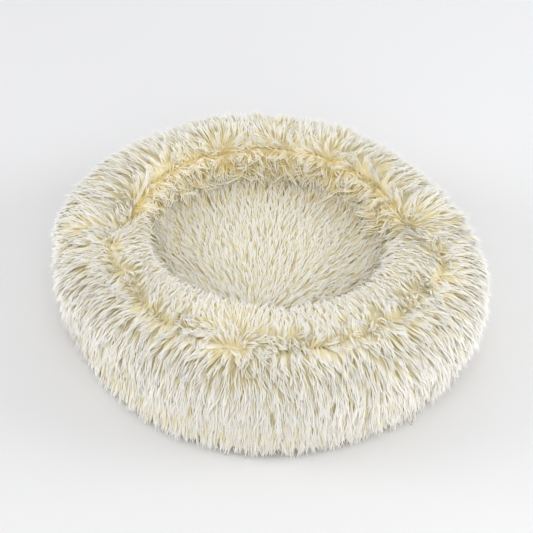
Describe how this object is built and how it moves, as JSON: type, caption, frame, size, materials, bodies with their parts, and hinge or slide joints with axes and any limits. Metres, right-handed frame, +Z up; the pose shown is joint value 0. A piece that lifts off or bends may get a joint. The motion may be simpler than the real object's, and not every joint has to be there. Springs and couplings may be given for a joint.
{
  "type": "pet bed",
  "caption": "Round plush pet bed: a stuffed ring wall round a crowned centre cushion, on a flat base cloth that opens along a curved zip.",
  "frame": {"origin": "middle of the underside of the base cloth, on the floor", "axes": "+Z up through the middle of the nest; the front of the bed faces -Y"},
  "size_m": [0.6229, 0.5894, 0.1777],
  "materials": {
    "plush": "long ivory plush, 30 mm pile",
    "bag": "white non-woven",
    "filling": "loose polyester fibre",
    "tape": "woven binding tape",
    "base_cloth": "coated woven cloth with anti-slip dots",
    "zip_chain": "woven tape with moulded resin teeth",
    "zip_resin": "moulded resin",
    "zip_metal": "nickel-plated die-cast metal"
  },
  "bodies": {
    "bed": {"outer_wall_panel": "plush", "inner_wall_panel": "plush", "centre_panel": "plush", "bolster_bag_outer": "bag", "bolster_bag_inner": "bag", "bolster_fill": "filling", "centre_bag_top": "bag", "centre_bag_bottom": "bag", "centre_fill": "filling", "inner_seam_tape": "tape", "base_cloth": "base_cloth", "base_seam_binding": "tape", "zip_tape_inner": "zip_chain", "zip_tape_outer": "zip_chain", "zip_top_stop_inner": "zip_resin", "zip_top_stop_outer": "zip_resin", "zip_bottom_stop": "zip_resin"},
    "slider": {"zip_slider": "zip_metal"},
    "pull": {"zip_pull": "zip_metal"}
  },
  "joints": [
    {"name": "zip_slider_travel", "type": "hinge", "parent": "bed", "child": "slider", "pos_m": [0, 0, 0], "axis": [0, 0, 1], "range_deg": [0, 90.2], "deforming": ["zip_tape_inner", "zip_tape_outer"]},
    {"name": "zip_pull_swing", "type": "hinge", "parent": "slider", "child": "pull", "pos_m": [0.18784, 0.16913, 0.0022], "axis": [-0.7431, -0.6691, 0], "range_deg": [0, 180]}
  ]
}
